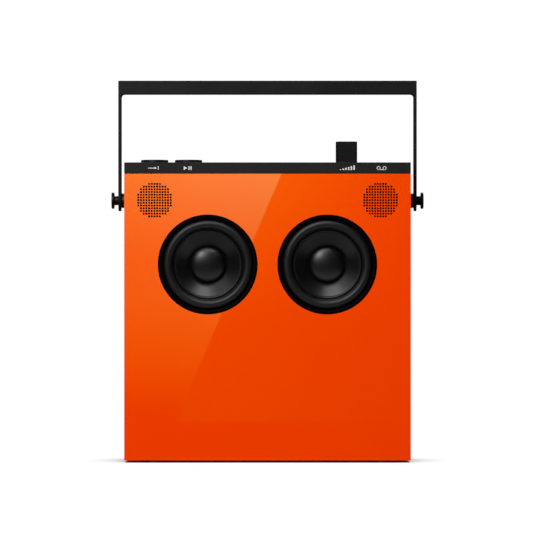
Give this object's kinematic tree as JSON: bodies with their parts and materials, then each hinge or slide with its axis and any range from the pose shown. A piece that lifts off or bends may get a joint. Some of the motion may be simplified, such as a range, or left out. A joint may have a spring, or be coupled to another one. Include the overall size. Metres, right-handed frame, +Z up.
{
  "type": "portable loudspeaker",
  "caption": "Flat upright portable loudspeaker with two woofers, perforated tweeter fields, a top control panel and a U-shaped swinging handle on thumb knobs.",
  "frame": {"origin": "on the ground, under the middle of the cabinet", "axes": "+Z up, -Y out of the front with the woofers, +X to the right of someone looking at the front"},
  "size_m": [0.231, 0.058, 0.281],
  "materials": {
    "gloss_orange": "high gloss, sharp edges",
    "black_panel": "fine satin",
    "handle_black": "black anodised, fine satin",
    "control_black": "satin moulded",
    "foot_rubber": "matt",
    "surround_rubber": "soft satin",
    "cone_black": "satin moulded cone",
    "frame_black": "satin paint",
    "gasket_foam": "closed-cell foam",
    "spider_cloth": "resin-treated cloth",
    "coil_copper": "enamelled copper winding",
    "steel": "zinc plated",
    "ferrite": "ground ferrite",
    "tweeter_black": "moulded",
    "silk_dome": "coated silk",
    "brass": "turned",
    "switch_black": "moulded",
    "circuit_board": "green solder mask",
    "battery_wrap": "shrink sleeve"
  },
  "bodies": {
    "cabinet": {"battery_bracket": "steel", "battery_pack": "battery_wrap", "cabinet_shell": "gloss_orange", "connector_plate": "control_black", "control_board": "circuit_board", "dial_motor": "steel", "foot_front_left": "foot_rubber", "foot_front_right": "foot_rubber", "foot_rear_left": "foot_rubber", "foot_rear_right": "foot_rubber", "front_baffle": "gloss_orange", "gasket_left": "gasket_foam", "gasket_right": "gasket_foam", "input_switch": "switch_black", "line_in_jack": "switch_black", "magnet_plate_left": "steel", "magnet_plate_right": "steel", "magnet_ring_left": "ferrite", "magnet_ring_right": "ferrite", "magnet_yoke_left": "steel", "magnet_yoke_right": "steel", "main_board": "circuit_board", "pivot_insert_left": "brass", "pivot_insert_right": "brass", "play_switch": "switch_black", "rear_cover": "gloss_orange", "rear_screw_left_high": "steel", "rear_screw_left_low": "steel", "rear_screw_right_high": "steel", "rear_screw_right_low": "steel", "spacer_washer_left": "control_black", "spacer_washer_right": "control_black", "spider_left": "spider_cloth", "spider_right": "spider_cloth", "surround_left": "surround_rubber", "surround_right": "surround_rubber", "top_panel": "black_panel", "tweeter_dome_left": "silk_dome", "tweeter_dome_right": "silk_dome", "tweeter_housing_left": "tweeter_black", "tweeter_housing_right": "tweeter_black", "usb_c_socket": "steel", "volume_encoder": "steel", "woofer_frame_left": "frame_black", "woofer_frame_right": "frame_black"},
    "handle": {"handle": "handle_black"},
    "thumb_knob_left": {"thumb_knob_left": "handle_black"},
    "thumb_knob_right": {"thumb_knob_right": "handle_black"},
    "input_button": {"input_button": "control_black"},
    "play_button": {"play_button": "control_black"},
    "volume_control": {"volume_knob": "control_black", "volume_shaft": "steel"},
    "tape_dial": {"tape_dial": "control_black", "dial_spindle": "steel"},
    "woofer_left": {"woofer_cone_left": "cone_black", "dust_cap_left": "cone_black", "voice_coil_left": "coil_copper"},
    "woofer_right": {"woofer_cone_right": "cone_black", "dust_cap_right": "cone_black", "voice_coil_right": "coil_copper"}
  },
  "joints": [
    {"name": "handle_swing", "type": "hinge", "parent": "cabinet", "child": "handle", "pos_m": [0, 0, 0.1925], "axis": [1, 0, 0], "range_deg": [-150, 150]},
    {"name": "thumb_knob_left_turn", "type": "hinge", "parent": "cabinet", "child": "thumb_knob_left", "pos_m": [-0.113, 0, 0.1925], "axis": [-1, 0, 0], "range_deg": [0, 360]},
    {"name": "thumb_knob_right_turn", "type": "hinge", "parent": "cabinet", "child": "thumb_knob_right", "pos_m": [0.113, 0, 0.1925], "axis": [1, 0, 0], "range_deg": [0, 360]},
    {"name": "input_press", "type": "slide", "parent": "cabinet", "child": "input_button", "axis": [0, 0, -1], "range_m": [0, 0.0012], "stiffness_N_per_m": 1500, "springref_m": -0.0003},
    {"name": "play_press", "type": "slide", "parent": "cabinet", "child": "play_button", "axis": [0, 0, -1], "range_m": [0, 0.0012], "stiffness_N_per_m": 1500, "springref_m": -0.0003},
    {"name": "volume_turn", "type": "hinge", "parent": "cabinet", "child": "volume_control", "pos_m": [0.0585, 0, 0.22], "axis": [0, 0, 1], "range_deg": [-150, 150]},
    {"name": "tape_turn", "type": "hinge", "parent": "cabinet", "child": "tape_dial", "pos_m": [0.0836, 0, 0.22], "axis": [0, 0, 1], "continuous": true},
    {"name": "woofer_left_travel", "type": "slide", "parent": "cabinet", "child": "woofer_left", "axis": [0, -1, 0], "range_m": [-0.0025, 0.0025], "stiffness_N_per_m": 1500, "deforming": ["surround_left", "spider_left"]},
    {"name": "woofer_right_travel", "type": "slide", "parent": "cabinet", "child": "woofer_right", "axis": [0, -1, 0], "range_m": [-0.0025, 0.0025], "stiffness_N_per_m": 1500, "deforming": ["surround_right", "spider_right"]}
  ]
}
